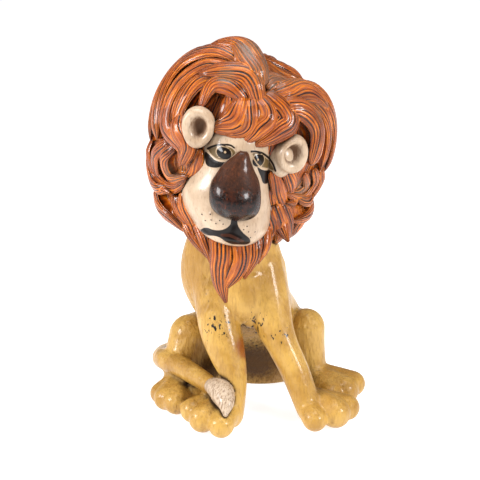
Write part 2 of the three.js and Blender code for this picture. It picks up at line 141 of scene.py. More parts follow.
# Each nostril's place, reach and depth.
NOSTRILS = [((-11, -104, -49), 6, 3), ((18, -100, -50), 6, 4)]
# An ear from its hollow, over the rim, to its back: shares of its radius and of its thickness.
EAR_PROFILE = [
    (0.05, 0.1), (0.2, 0), (0.34, -0.3), (0.46, -0.65), (0.58, -0.9), (0.74, -1), (0.9, -0.8),
    (1, -0.15), (0.97, 0.5), (0.8, 0.9), (0.5, 1), (0.1, 1),
]
EARS = [
    {"at": (-48, -58, 27), "radii": (17.5, 10, 22.5), "turn": -16, "lean": 6, "hollow": (3, 3)},
    {"at": (56, -62, 15), "radii": (17.5, 10, 22.5), "turn": 14, "lean": 4, "hollow": (-4, 4)},
]
# The soft form that joins the right ear to the face: place and radii.
EAR_ROOT = ((47, -58, 5), (15, 12, 19))

# The mane is combed over two eggs, and dips at the parting.
SCALP = ((14, 12, 6), (92, 77, 100))
JOWLS = ((21, 6, -64), (83, 60, 52))
PARTING_TURN, PARTING_RISE, PARTING_DEPTH, PARTING_SPREAD = 34, 62, 19, 20
HANGING_FIRST, HANGING_LAST, HANGING_LOCKS = 80, 284, 11
HANGING_WAVE, HANGING_SWELL = 9, 3
HANGING_STRANDS, FRONT_STRANDS, FRONT_PARTS = 9, 8, 8
LOCK_PEAK, LOCK_ROOT = 0.4, 0.6
LOCK_THICKNESS, LOCK_SUNK, KEEL_DEPTH = 0.55, 0.5, 16

# Locks: the turn and rise of each station in degrees, then half width, lift and how blunt the tip is.
LOCKS = {
    "crest": ([(-2, 44), (-15, 58), (-48, 70), (-84, 58)], 16, 16, 0.2),
    "side_sweep": ([(-60, 62), (-104, 39), (-96, 16), (-88, -10)], 14, 11, 0.4),
    "top_sweep": ([(-19, 60), (-71, 58), (-92, 38), (-85, 15), (-72, -5)], 14, 11, 0.6),
    "middle_sweep": ([(-25, 51), (-60, 48), (-72, 28), (-66, 5), (-47, -4), (-48, -16)], 11, 9, 0.35),
    "low_sweep": ([(-38, 44), (-56, 33), (-59, 15), (-53, 3)], 11, 7, 0.3),
    "brim": ([(-2, 33), (-15, 47), (-36, 47), (-56, 39)], 13, 14, 0.3),
    "ear_curl": ([(-11, 33), (-27, 38), (-40, 35), (-41, 20)], 11, 11, 0.3),
    "ear_curl_leg": ([(-19, 38), (-22, 27), (-26, 17)], 11, 6, 0.2),
    "forelock_a": ([(-12, 33), (-17, 19), (-29, 11)], 15, 10, 0.2),
    "forelock_b": ([(-9, 35), (-7, 24), (-10, 16), (-19, 10)], 12, 11, 0.2),
    "forelock_c": ([(-5, 37), (4, 25), (-1, 16), (-9, 8)], 12, 11, 0.2),
    "forelock_d": ([(0, 41), (19, 26), (12, 17), (-2, 7)], 15, 9, 0.2),
    "right_top": ([(3, 44), (22, 55), (50, 52)], 15, 9, 0.2),
    "right_crown": ([(10, 41), (44, 45), (68, 30)], 16, 12, 0.2),
    "right_edge": ([(48, 58), (70, 36), (80, 12), (70, -8)], 12, 10, 0.5),
    "right_outer": ([(29, 46), (54, 38), (66, 18), (62, -6)], 10, 8, 0.4),
    "ear_cover": ([(13, 33), (30, 32), (43, 20), (42, -1)], 13, 12, 0.75),
    "right_crescent": ([(66, -6), (73, -18), (64, -29), (36, -27)], 10, 9, 0.35),
    "right_bowl": ([(55, -6), (66, -17), (56, -26), (31, -21)], 8, 6, 0.3),
    "right_inner": ([(46, -8), (56, -18), (50, -23), (37, -22)], 7, 2, 0.3),
    "right_tip_a": ([(80, -29), (70, -34), (45, -37)], 9, 4, 0.2),
    "right_tip_b": ([(64, -34), (57, -41), (64, -51)], 9, 2, 0.2),
    "right_cheek_a": ([(15, -7), (26, -20), (40, -34), (62, -50)], 9, 3, 0.2),
    "right_cheek_b": ([(19, -19), (31, -32), (42, -45), (57, -56)], 9, 2, 0.2),
    "right_jaw": ([(26, -32), (29, -40), (37, -51)], 9, 1, 0.2),
    "behind_ear": ([(25, -6), (35, -15), (43, -32)], 9, 1, 0.3),
    "left_hook": ([(-56, 14), (-51, 5), (-42, -2), (-45, -14)], 12, 11, 0.4),
    "left_curl_out": ([(-63, -4), (-78, -18), (-80, -31), (-58, -33), (-42, -22)], 10, 9, 0.3),
    "left_curl": ([(-56, -5), (-64, -16), (-58, -26), (-41, -20)], 8, 8, 0.3),
    "left_wall": ([(-36, -2), (-35, -10), (-39, -17), (-47, -25)], 7, 4, 0.3),
    "left_edge": ([(-94, -9), (-91, -22), (-86, -34), (-56, -38)], 10, 12, 0.3),
    "left_tip": ([(-62, -34), (-84, -34), (-94, -20)], 9, 17, 0.1),
    "left_side": ([(-92, -37), (-78, -46), (-58, -50), (-43, -57)], 11, 8, 0.2),
    "left_low": ([(-58, -38), (-51, -46), (-43, -56), (-38, -71)], 10, 2, 0.2),
    "left_cheek": ([(-49, -30), (-46, -40), (-38, -50), (-27, -67)], 9, 2, 0.2),
    "left_back": ([(-85, -45), (-70, -60), (-44, -70)], 11, 0, 0.2),
}
# Beard tufts: x, y, z and half width at each station, then how far the strands wind round.
BEARD = [
    ([(-2, -64, -86, 13), (2, -70, -106, 13), (4, -70, -121, 12), (9, -70, -141, 9),
      (18, -68, -161, 2.5)], 30),
    ([(20, -66, -86, 13), (24, -72, -107, 12), (20, -73, -124, 11), (14, -71, -140, 6),
      (12, -70, -150, 2.5)], -60),
    ([(32, -60, -84, 12), (37, -70, -101, 9), (35, -71, -116, 6), (33, -71, -129, 2)], 25),
    ([(46, -50, -78, 12), (48, -62, -94, 8), (45, -68, -110, 2)], 20),
    ([(-20, -42, -86, 11), (-14, -56, -100, 8), (-3, -66, -124, 2)], -30),
    ([(60, -38, -64, 13), (68, -46, -75, 9), (76, -53, -85, 2.5)], 15),
    ([(-34, -24, -86, 12), (-25, -40, -100, 9), (-10, -56, -116, 2.5)], -20),
]


def oval(x, z, across, down):
    turns = np.arange(14) * math.pi / 7
    return [(x + across * math.cos(turn), z + down * math.sin(turn)) for turn in turns]


# Marks on the face: the paint, then x and z in the head's own axes, then half the width of a line or 0 for
# a filled outline.
MARKS = [
    ("khaki", [(-33, 4.5), (-29, 9), (-23, 13), (-15.5, 15), (-9.5, 13.5), (-7, 10), (-10.5, 4.5),
               (-17, 0.5), (-24.5, -1), (-29.5, 1)], 0),
    ("khaki", [(10.5, 13), (17.5, 13), (25.5, 10), (34, 3.5), (40, -4.5), (32.5, -3.5), (22.5, -0.5),
               (15.5, 5.5)], 0),
    ("ink", [(-33.5, 5), (-30, 9.5), (-25, 13.5), (-18.5, 16), (-13.5, 17), (-9, 15.5)], 1.0),
    ("ink", [(9.5, 14.5), (15, 14.8), (22.5, 13.3), (30, 9), (37, 3), (42, -5)], 1.1),
    ("ink", [(-35, 1.5), (-31, 0), (-25, -3), (-16.5, -2), (-9.5, 3), (-12, -1.5), (-16.5, -6), (-22, -10),
             (-28.5, -12), (-32.5, -11), (-34.5, -4.5)], 0),
    ("ink", [(18.5, 0), (26, -4.5), (33, -6), (39.5, -6.5), (39.5, -11), (38.5, -17), (37, -21),
             (31, -19.5), (26.5, -12.5), (22, -6)], 0),
    ("ink", oval(-18, 7.3, 7.4, 6.2), 0),
    ("ink", oval(19.5, 5.5, 7, 6.6), 0),
    ("ink", [(-25, -84.5), (-22.5, -80), (-19, -77), (-14.5, -76.5), (-7.5, -74.5), (-2, -71), (2, -66),
             (2, -60), (7.5, -59), (10.5, -66), (17, -72.5), (25.5, -78.5), (28.5, -84.5), (24.5, -87.5),
             (16, -87.5), (7.5, -88), (0.5, -86), (-6, -83), (-12, -83.5), (-17, -86), (-23, -87)], 0),
    # The cream dot high in each pupil is a painted highlight.
    ("cream", oval(-17.5, 9, 1.3, 1.3), 0),
    ("cream", oval(18.5, 7, 1.2, 1.2), 0),
    ("cream", [(-34, 3.5), (-29.5, 0.5), (-24.5, -1), (-17, -0.5), (-10.5, 3.5), (-6.5, 9.5)], 0.7),
    ("cream", [(11, 11.5), (15.5, 5.5), (23, -1), (32, -4.5), (41, -6)], 0.7),
    ("rust", [(-4.5, -79.5), (3, -78), (10.5, -79.5), (19, -82.5)], 1.5),
]
WHISKERS = [
    (-28.5, -63), (-21, -59), (-24, -68.5), (-19, -65), (-13.5, -67.5), (-10.5, -63), (-6, -66.5),
    (12, -69), (17, -69), (20, -65), (23, -71), (31, -71.5), (27, -78),
]
WHISKER_SIZE = 0.8
EYE_RINGS = [(-18, 7.3, 8, 6.8), (19.5, 5.5, 7.6, 7.2)]
EYE_RING_WIDTH = 0.45
MARKS += [("ink", oval(x, z, WHISKER_SIZE, WHISKER_SIZE), 0) for x, z in WHISKERS]
MARKS += [("cream", oval(*ring) + oval(*ring)[:1], EYE_RING_WIDTH) for ring in EYE_RINGS]
MARKS_BEHIND = -35
PAINTS = ("khaki", "ink", "cream", "rust")

# Where the mane's grooves turn grey: turn, rise and reach in degrees. The crown's grey is a grey wash;
# in the bowls of the two low curls, at (-52, -20) and (50, -18), it is painted shade.
WASH_AND_SHADE_SPOTS = [(4, 50, 16), (32, 60, 18), (-22, 62, 12), (-52, -20, 9), (50, -18, 10), (46, 28, 8), (-30, 40, 7)]

MATERIALS = ["coat", "mane", "face", "tuft", "nose"]
COAT, MANE, FACE_PAINT, TUFT, NOSE_PAINT = range(5)


# Lines and rings

def unit(rows):
    return rows / np.linalg.norm(rows, axis=-1, keepdims=True)


def along(stations, t):
    """The smooth curve through the stations, one row for each t from 0 to 1."""
    rows = np.asarray(stations, float)
    padded = np.vstack([2 * rows[0] - rows[1], rows, 2 * rows[-1] - rows[-2]])
    place = np.clip(t, 0, 1) * (len(rows) - 1)
    left = np.minimum(place.astype(int), len(rows) - 2)
    w = (place - left)[:, None]
    p0, p1, p2, p3 = (padded[left + k] for k in range(4))
    rising = (3 - 2 * w) * w * w
    return (1 - rising) * p1 + rising * p2 + w * (1 - w) * ((1 - w) * (p2 - p0) - w * (p3 - p1)) / 2


def ring_axes(line, out):
    heading = unit(np.gradient(line, axis=0))
    across = unit(np.cross(np.broadcast_to(out, line.shape), heading))
    return heading, across, np.cross(heading, across)


def ellipses(line, across, away, wide, deep, angles):
    around = across[:, None] * (wide[:, None] * np.cos(angles))[..., None]
    return line[:, None] + around + away[:, None] * (deep[:, None] * np.sin(angles))[..., None]


def domed(line, girth, heading, at_root, at_end):
    """Adds the stations of a dome past either end."""
    turns = np.radians(np.linspace(15, 86, DOME_RINGS))[:, None]
    parts = [(line, girth)]
    if at_end:
        cap = line[-1] + heading[-1] * girth[-1, 1] * np.sin(turns)
        parts.append((cap, girth[-1] * np.cos(turns)))
    if at_root:
        cap = line[0] - heading[0] * girth[0, 1] * np.sin(turns[::-1])
        parts.insert(0, (cap, girth[0] * np.cos(turns[::-1])))
    return np.vstack([p[0] for p in parts]), np.vstack([p[1] for p in parts])


def fine_stations(stations, steps):
    rows = np.asarray(stations, float)
    t = np.linspace(0, 1, steps * (len(rows) - 1) + 1)
    return along(rows[:, :3], t), along(rows[:, 3:], t)


def round_angles(sides):
    return np.arange(sides) * 2 * math.pi / sides


def level_rings(stations, angles, steps):
    """Level sections from the top down."""
    line, girth = fine_stations(stations, steps)
    right, front = (np.broadcast_to(way, line.shape) for way in (RIGHT, FRONT))
    return ellipses(line, right, front, girth[:, 0], girth[:, 1], angles)


def limb_rings(stations, sides=28, out=FRONT, root=False, end=True, steps=7, winding=0):
    line, girth = fine_stations(stations, steps)
    heading, across, away = ring_axes(line, out)
    long_line, long_girth = domed(line, girth, heading, root, end)
    before = DOME_RINGS if root else 0
    after = len(long_line) - len(line) - before
    across = np.vstack([across[:1]] * before + [across] + [across[-1:]] * after)
    away = np.vstack([away[:1]] * before + [away] + [away[-1:]] * after)
    turned = np.radians(winding) * np.linspace(0, 1, len(long_line))[:, None]
    angles = round_angles(sides) + turned
    return ellipses(long_line, across, away, long_girth[:, 0], long_girth[:, 1], angles)


def ball_rings(at, radii, sides):
    rises = np.radians(np.linspace(-86, 86, sides // 2 + 1))[:, None]
    turns = round_angles(sides)
    level = np.cos(rises)
    x, y = level * np.cos(turns) * radii[0], level * np.sin(turns) * radii[1]
    z = np.broadcast_to(np.sin(rises) * radii[2], x.shape)
    return np.stack([x, y, z], -1) + np.asarray(at, float)


# Meshes

def tube(rings):
    """A closed surface through the rings, with a fan over each end."""
    count, across = rings.shape[:2]
    verts = np.vstack([rings.reshape(-1, 3), rings[0].mean(0), rings[-1].mean(0)])
    i, j = (g.ravel() for g in np.meshgrid(np.arange(count - 1), np.arange(across), indexing="ij"))
    a, b = i * across + j, i * across + (j + 1) % across
    quads = np.stack([a, b, b + across, a + across], 1)
    here, there = np.arange(across), (np.arange(across) + 1) % across
    last = (count - 1) * across
    start = np.stack([there, here, np.full(across, count * across)], 1)
    end = np.stack([last + here, last + there, np.full(across, count * across + 1)], 1)
    return verts, quads, np.vstack([start, end])


def mesh_object(name, verts, faces, material):
    mesh = bpy.data.meshes.new(name)
    mesh.from_pydata(verts.tolist(), [], faces)
    for slot in MATERIALS:
        mesh.materials.append(bpy.data.materials.get(slot) or bpy.data.materials.new(slot))
    mesh.polygons.foreach_set("material_index", np.full(len(mesh.polygons), material, np.int32))
    mesh.attributes.new("groove", "FLOAT", "POINT")
    mesh.uv_layers.new(name="strand")
    made = bpy.data.objects.new(name, mesh)
    bpy.context.scene.collection.objects.link(made)
    return made


def plain(name, rings_list, material):
    """Several closed surfaces in one mesh."""
    verts, faces, base = [], [], 0
    for rings in rings_list:
        points, quads, caps = tube(rings)
        verts.append(points)
        faces += (quads + base).tolist() + (caps + base).tolist()
        base += len(points)
    return mesh_object(name, np.vstack(verts), faces, material)


def combed_object(name, rings, depth, u, v):
    """A closed surface of hair whose columns are strands. u runs across them and v along them."""
    points, quads, caps = tube(rings)
    made = mesh_object(name, points, quads.tolist() + caps.tolist(), MANE)
    groove = np.concatenate([depth.ravel(), [0, 0]]).astype(np.float32)
    made.data.attributes["groove"].data.foreach_set("value", groove)
    count, across = rings.shape[:2]
    i, j = (g.ravel() for g in np.meshgrid(np.arange(count - 1), np.arange(across), indexing="ij"))
    corners = [(i, j), (i, j + 1), (i + 1, j + 1), (i + 1, j)]
    grid = np.stack([np.stack([u[c], v[r]], -1) for r, c in corners], 1).reshape(-1, 2)
    ends = np.zeros((len(caps) * 3, 2))
    made.data.uv_layers["strand"].data.foreach_set("uv", np.vstack([grid, ends]).astype(np.float32).ravel())
    return made


def evaluated(made):
    graph = bpy.context.evaluated_depsgraph_get()
    return bpy.data.meshes.new_from_object(made.evaluated_get(graph), depsgraph=graph)


def blended(made, voxel, rounds):
    """Overlapping closed forms made one skin, with soft joins."""
    remesh = made.modifiers.new("skin", "REMESH")
    remesh.mode, remesh.voxel_size = "VOXEL", voxel
    soften = made.modifiers.new("soften", "SMOOTH")
    soften.factor, soften.iterations = 0.5, rounds
    material = made.data.polygons[0].material_index
    skin = evaluated(made)
    made.modifiers.clear()
    points = points_of(skin)
    faces = [tuple(p.vertices) for p in skin.polygons]
    bpy.data.objects.remove(made)
    return mesh_object("skin", points, faces, material)


def points_of(mesh):
    found = np.empty(len(mesh.vertices) * 3)
    mesh.vertices.foreach_get("co", found)
    return found.reshape(-1, 3)


def normals_of(mesh):
    found = np.empty(len(mesh.vertices) * 3)
    mesh.vertex_normals.foreach_get("vector", found)
    return found.reshape(-1, 3)


def move_points(mesh, points):
    mesh.vertices.foreach_set("co", points.ravel())
    mesh.update()


# Hair

def ball(turn, rise):
    turn, rise = np.broadcast_arrays(np.radians(turn), np.radians(rise))
    return np.stack([np.sin(turn) * np.cos(rise), -np.cos(turn) * np.cos(rise), np.sin(rise)], -1)


def bearing(turn, rise):
    """A direction from the middle of the mane. Rise is measured on the scalp's egg."""
    return unit(ball(turn, rise) * SCALP[1])


def reach_of(egg, way):
    at, radii = np.array(egg[0], float), np.array(egg[1], float)
    ray, start = way / radii, (np.array(SCALP[0]) - at) / radii
    a, b = (ray * ray).sum(-1), (ray * start).sum(-1)
    inside = b * b - a * ((start * start).sum() - 1)
    return np.where(inside > 0, (np.sqrt(np.maximum(inside, 0)) - b) / a, 0)


def lifted(way, lift):
    """The places above the scalp in those directions, and the ways out from them."""
    near, far = reach_of(SCALP, way), reach_of(JOWLS, way)
    off = np.degrees(np.arccos(np.clip(way @ bearing(PARTING_TURN, PARTING_RISE), -1, 1))) / PARTING_SPREAD
    reach = np.maximum(near, far) - PARTING_DEPTH * np.exp(-off * off)
    point = np.array(SCALP[0], float) + way * reach[..., None]
    jowl = (far > near)[..., None]
    out = unit(np.where(
        jowl,
        (point - JOWLS[0]) / np.square(JOWLS[1]),
        (point - SCALP[0]) / np.square(SCALP[1]),
    ))
    return point + out * np.asarray(lift, float)[..., None], out


def combing(rows, strands, random):
    """How deep each column of a combed surface is cut at each row: 0 on a ridge, up to 1.4 in a groove."""
    depth = np.zeros((len(rows), strands * STRAND_COLUMNS + 1))
    for k in range(strands + 1):
        strength = random.uniform(0.95, 1.4) if k % 4 == 0 else random.uniform(0.3, 0.95)
        phase, pace = random.uniform(0, 6.3), random.uniform(2, 7)
        depth[:, k * STRAND_COLUMNS] = strength * (0.8 + 0.2 * np.sin(phase + pace * rows))
    for column in range(depth.shape[1]):
        if column % STRAND_COLUMNS:
            depth[:, column] = random.uniform(0, 0.25)
    return depth


def lock_width(t, tip):
    swell = LOCK_ROOT + (1 - LOCK_ROOT) * np.sin(math.pi / 2 * np.minimum(t / LOCK_PEAK, 1))
    past = np.clip((t - LOCK_PEAK) / (1 - LOCK_PEAK), 0, 1)
    taper = tip + (1 - tip) * np.cos(math.pi / 2 * past)
    ends = np.sqrt(np.clip(np.minimum(t / 0.05, (1 - t) / 0.09), 0.03, 1))
    return np.where(t < LOCK_PEAK, swell, taper) * ends


def lock(name, record):
    """A combed lock that follows its stations over the mane, with a keel that roots it."""
    stations, wide, lift, tip = record
    share = np.linspace(0, 1, LOCK_ROWS)
    t = 0.6 * share + 0.2 * (1 - np.cos(math.pi * share))
    turns, rises = np.array(stations, float).T
    way = unit(unit(along(ball(turns, rises), t)) * SCALP[1])
    line, out = lifted(way, lift * np.minimum(1, LOCK_SUNK + t / LOCK_PEAK))
    _, across, away = ring_axes(line, out)
    half = wide * lock_width(t, tip)
    strands = max(4, round(2.5 * wide / STRAND_PITCH))
    depth = combing(t, strands, RANDOM)
    columns = depth.shape[1]
    drift = 0.9 / strands * np.sin(RANDOM.uniform(0, 6.3) + RANDOM.uniform(4, 8) * t)
    share = np.linspace(0, 1, columns)[None] + drift[:, None] * np.sin(math.pi * np.linspace(0, 1, columns))
    angles = math.pi * share
    cut = depth * (STRAND_DEPTH * np.minimum(1, 2.5 * half / strands / STRAND_PITCH))[:, None]
    wide_here = half[:, None] - cut
    deep_here = half[:, None] * LOCK_THICKNESS - cut
    top = (
        line[:, None]
        + across[:, None] * (wide_here * np.cos(angles))[..., None]
        + away[:, None] * (deep_here * np.sin(angles))[..., None]
    )
    keel = np.minimum(1, half / 6) * (lift + KEEL_DEPTH)
    under = []
    for share_across, share_down in ((-0.9, 0.25), (-0.4, 0.8), (0.4, 0.8), (0.9, 0.25)):
        under.append(line + across * (half * share_across)[:, None] - away * (keel * share_down)[:, None])
    rings = np.concatenate([top, np.stack(under, 1)], 1)
    depth = np.hstack([depth, np.full((len(t), 4), KEEL_SHADE)])
    u = np.append(np.linspace(0, strands, columns), [strands + 1] * 5) * STRAND_PITCH
    u += RANDOM.uniform(0, 500)
    v = np.concatenate([[0], np.cumsum(np.linalg.norm(np.diff(line, axis=0), axis=1))])
    return combed_object(name, rings, depth, u, v + RANDOM.uniform(0, 500))


def mane_shell():
    """The mane behind the front locks: hanging locks at the sides and back, plain combing in front."""
    rises = np.linspace(-84, 88, SHELL_ROWS)
    sway = HANGING_WAVE * np.sin(np.radians(3 * rises))
    spread = (HANGING_LAST - HANGING_FIRST) / HANGING_LOCKS
    turns, heights, depths = [], [], []
    fade = np.cos(np.radians(rises))
    for index in range(HANGING_LOCKS):
        cut = combing(rises / 60, HANGING_STRANDS, RANDOM)[:, :-1]
        share = np.arange(cut.shape[1]) / cut.shape[1]
        turns.append(HANGING_FIRST + spread * (index + share)[None] + sway[:, None])
        swell = HANGING_SWELL * np.sin(np.radians(4 * rises + 150 * index))
        ridge = -5 + 9.5 * np.sin(math.pi * share ** 0.8)
        heights.append((ridge[None] + swell[:, None]) * fade[:, None])
        depths.append(cut)
    front_span = HANGING_FIRST + 360 - HANGING_LAST
    for index in range(FRONT_PARTS):
        cut = combing(rises / 60, FRONT_STRANDS, RANDOM)[:, :-1]
        share = (index + np.arange(cut.shape[1]) / cut.shape[1]) / FRONT_PARTS
        still = 1 - np.sin(math.pi * share)
        turns.append(HANGING_LAST + front_span * share[None] + sway[:, None] * still[None])
        heights.append(np.zeros_like(cut))
        depths.append(cut)
    turns, heights, depth = np.hstack(turns), np.hstack(heights), np.hstack(depths)
    cut = depth * STRAND_DEPTH * np.clip(fade, 0.1, 1)[:, None]
    points, _ = lifted(bearing(turns, np.broadcast_to(rises[:, None], turns.shape)), heights - cut)
    u = np.arange(turns.shape[1] + 1) / STRAND_COLUMNS * STRAND_PITCH
    v = np.radians(rises) * SHELL_RADIUS
    return combed_object("shell", points, depth, u, v)


def beard_tuft(index, stations, winding):
    """A round tuft whose strands wind about it."""
    rows = [(x, y, z, wide, 0.58 * wide + 1) for x, y, z, wide in stations]
    strands = round(2 * math.pi * 0.7 * max(row[3] for row in rows) / STRAND_PITCH)
    rings = limb_rings(rows, strands * STRAND_COLUMNS, root=True)
    cut = combing(np.linspace(0, 1, len(rings)), strands, RANDOM)[:, :-1]
    middle = rings.mean(1, keepdims=True)
    rings = limb_rings(rows, strands * STRAND_COLUMNS, root=True, winding=winding)
    size = np.linalg.norm(rings - middle, axis=-1, keepdims=True)
    share = np.minimum(1, size.mean(1, keepdims=True) / 12)
    rings = rings - (rings - middle) / size * cut[..., None] * STRAND_DEPTH * share
    u = np.arange(cut.shape[1] + 1) / STRAND_COLUMNS * STRAND_PITCH
    steps = np.linalg.norm(np.diff(middle[:, 0], axis=0), axis=1)
    v = np.concatenate([[0], np.cumsum(steps)]) + 100 * index
    return combed_object(f"beard_{index}", rings, cut, u, v)


# Ears and face

def ear(record):
    """A rounded cup with a thick rim. Its groove value is 1 in the hollow, with faint rings on the rim."""
    rows = along(EAR_PROFILE, np.linspace(0, 1, EAR_ROWS))
    share, depth = rows[:, :1], rows[:, 1:2]
    angles = round_angles(EAR_SIDES)
    inside = (1 - np.minimum(share, 1)) * (np.arange(len(rows))[:, None] < len(rows) / 2)
    uneven = 1 + 0.05 * np.sin(2 * angles + record["turn"]) + 0.03 * np.sin(3 * angles + record["lean"])
    x = record["radii"][0] * share * uneven * np.cos(angles) + record["hollow"][0] * inside
    z = record["radii"][2] * share * uneven * np.sin(angles) + record["hollow"][1] * inside
    rings = np.stack([x, np.broadcast_to(record["radii"][1] * depth, x.shape), z], -1)
    hollow = np.clip(1.3 - 1.8 * share, 0, 1) * (inside > 0)
    ripple = 0.22 * (inside > 0) * np.maximum(0, np.sin(46 * share + 0.6 * np.cos(angles)))
    made = plain("ear", [rings[:, ::-1]], FACE_PAINT)
    groove = np.append(np.maximum(hollow, ripple)[:, ::-1].ravel(), [1, 0]).astype(np.float32)
    made.data.attributes["groove"].data.foreach_set("value", groove)
    turned = Matrix.Rotation(math.radians(record["turn"]), 4, "Z")
    turned = turned @ Matrix.Rotation(math.radians(record["lean"]), 4, "Y")
    made.data.transform(Matrix.Translation(record["at"]) @ turned)
    return made


def dented(made, dents):
    """Pushes the front in at each place."""
    points = points_of(made.data)
    for place, radius, depth in dents:
        off = np.linalg.norm(points - place, axis=1) / radius
        points[:, 1] += depth * np.exp(-off * off)
    move_points(made.data, points)
    return made


def outside(points, corners, closed):
    """How far each point lies from a line, or outside a closed outline and less than 0 inside it."""
    ends = np.roll(corners, -1, 0)
    nearest = np.full(len(points), 1e6)
    within = np.zeros(len(points), bool)
    for a, b in zip(corners, ends) if closed else zip(corners[:-1], ends[:-1]):
        edge = b - a
        t = np.clip((points - a) @ edge / max(edge @ edge, 1e-9), 0, 1)
        nearest = np.minimum(nearest, np.linalg.norm(points - a - t[:, None] * edge, axis=1))
        crossing = (a[1] > points[:, 1]) != (b[1] > points[:, 1])
        slope = edge[0] / edge[1] if edge[1] else 0
        within ^= crossing & (points[:, 0] < a[0] + slope * (points[:, 1] - a[1])) & closed
    return np.where(within, -nearest, nearest)


def painted(points, paint):
    """2 on the edge of a paint's marks, more inside them, and 0 from 2 mm away."""
    flat = points[:, [0, 2]]
    nearest = np.full(len(points), 9.0)
    for name, rows, half in MARKS:
        if name == paint:
            stations = rows if half else [*rows, rows[0]]
            line = along(stations, np.linspace(0, 1, 5 * len(stations)))
            nearest = np.minimum(nearest, outside(flat, line, not half) - half)
    return np.where(points[:, 1] < MARKS_BEHIND, np.clip(2 - nearest, 0, 4), 0)


def mark(made):
    """Stores each paint's marks on a form of the head."""
    for paint in PAINTS:
        store(made.data, paint, painted(points_of(made.data), paint))


def face():
    """A smooth skull whose front is pushed out at the eyes and pads, and in beside them."""
    front_angles = np.radians(np.linspace(8, 172, FACE_FRONT, endpoint=False))
    back_angles = np.radians(np.linspace(172, 368, FACE_BACK, endpoint=False))
    angles = np.concatenate([front_angles, back_angles])
    made = plain("face", [level_rings(FACE, angles, FACE_STEPS)], FACE_PAINT)
    mark(made)
    points = points_of(made.data)
    front = np.clip(-(points[:, 1] + 40) / 25, 0, 1)
    for x, z, across, down, height in FACE_SWELLS:
        off = ((points[:, 0] - x) / across) ** 2 + ((points[:, 2] - z) / down) ** 2
        points[:, 1] -= height * front * np.exp(-off)
    move_points(made.data, points)
    return made


def nose():
    """A pear with two nostrils. Its upper value is 1 at the top and 0 on the ball."""
    rings = level_rings(NOSE, round_angles(NOSE_SIDES), NOSE_STEPS)
    made = dented(plain("nose", [rings], NOSE_PAINT), NOSTRILS)
    store(made.data, "upper", np.clip((points_of(made.data)[:, 2] + 34) / 30, 0, 1))
    return made


# Assembly

def head_matrix():
    turned = (
        Matrix.Rotation(math.radians(HEAD_TURN), 4, "Z")
        @ Matrix.Rotation(math.radians(HEAD_TIP), 4, "X")
        @ Matrix.Rotation(math.radians(HEAD_LEAN), 4, "Y")
    )
    return Matrix.Translation(HEAD_PLACE) @ turned


def toe_rings(record):
    start, end, thick = record
    return limb_rings([(*start, thick * 0.9, thick * 0.9), (*end, thick, thick)], out=UP)


def body():
    limbs = [RIGHT_FORELEG, LEFT_FORELEG, RIGHT_THIGH, RIGHT_SHIN, RIGHT_HEEL, LEFT_THIGH, LEFT_SHIN, CHEST]
    forms = [limb_rings(TRUNK, TRUNK_SIDES, end=False), limb_rings(TAIL, out=UP, end=False)]
    forms += [limb_rings(stations) for stations in limbs]
    forms += [toe_rings(toe) for toe in TOES]
    return blended(plain("body", forms, COAT), BODY_VOXEL, BODY_SOFTENING)


def union(base, others):
    """One skin round all the forms, cut flat where it stands."""
    held = bpy.data.collections.new("operands")
    for made in others:
        held.objects.link(made)
    joined = base.modifiers.new("join", "BOOLEAN")
    joined.operation, joined.solver = "UNION", "MANIFOLD"
    joined.operand_type, joined.collection = "COLLECTION", held
    floor = mesh_object("below", *box_mesh(400, -400, 0), COAT)
    flat = base.modifiers.new("floor", "BOOLEAN")
    flat.operation, flat.solver, flat.object = "DIFFERENCE", "MANIFOLD", floor
    bpy.context.view_layer.update()
    skin = evaluated(base)
    skin.validate()
    for made in (*others, floor, base):
        bpy.data.objects.remove(made)
    return skin


def box_mesh(half, low, high):
    square = ((-half, -half), (half, -half), (half, half), (-half, half))
    corners = [(x, y, z) for z in (low, high) for x, y in square]
    faces = [(3, 2, 1, 0), (4, 5, 6, 7), (0, 1, 5, 4), (1, 2, 6, 5), (2, 3, 7, 6), (3, 0, 4, 7)]
    return np.array(corners, float), faces


def mane_skin():
    parts = [lock(name, record) for name, record in LOCKS.items()]
    parts += [beard_tuft(index, *record) for index, record in enumerate(BEARD)]
    shell = mane_shell()
    for made in (shell, *parts):
        made.data.transform(head_matrix())
    return union(shell, parts)


def head_skin():
    skull, parts = face(), [nose(), *(ear(record) for record in EARS)]
    root = plain("ear_root", [ball_rings(*EAR_ROOT, EAR_ROOT_SIDES)], FACE_PAINT)
    mark(root)
    parts.append(root)
    for made in (skull, *parts):
        made.data.transform(head_matrix())
    return union(skull, parts)


def body_skin():
    return union(body(), [plain("tuft", [limb_rings(TAIL_TUFT)], TUFT)])


# Values stored on the mesh

def store(mesh, name, values):
    attribute = mesh.attributes.get(name) or mesh.attributes.new(name, "FLOAT", "POINT")
    attribute.data.foreach_set("value", np.asarray(values, np.float32))


def near_places(points, places):
    """1 at the places, fading to 0 beyond their reach."""
    found = np.zeros(len(points))
    for *place, spread in places:
        off = np.linalg.norm(points - place, axis=1) / spread
        found = np.maximum(found, np.exp(-off * off))
    return found


def wash_and_shade_at(mesh):
    """1 where the mane's grooves turn grey: a grey wash on the crown, painted shade in the curl bowls."""
    back = np.array(head_matrix().inverted())
    way = unit(points_of(mesh) @ back[:3, :3].T + back[:3, 3] - SCALP[0])
    found = np.zeros(len(way))
    for turn, rise, spread in WASH_AND_SHADE_SPOTS:
        off = np.degrees(np.arccos(np.clip(way @ bearing(turn, rise), -1, 1))) / spread
        found = np.maximum(found, np.exp(-off * off))
    return found


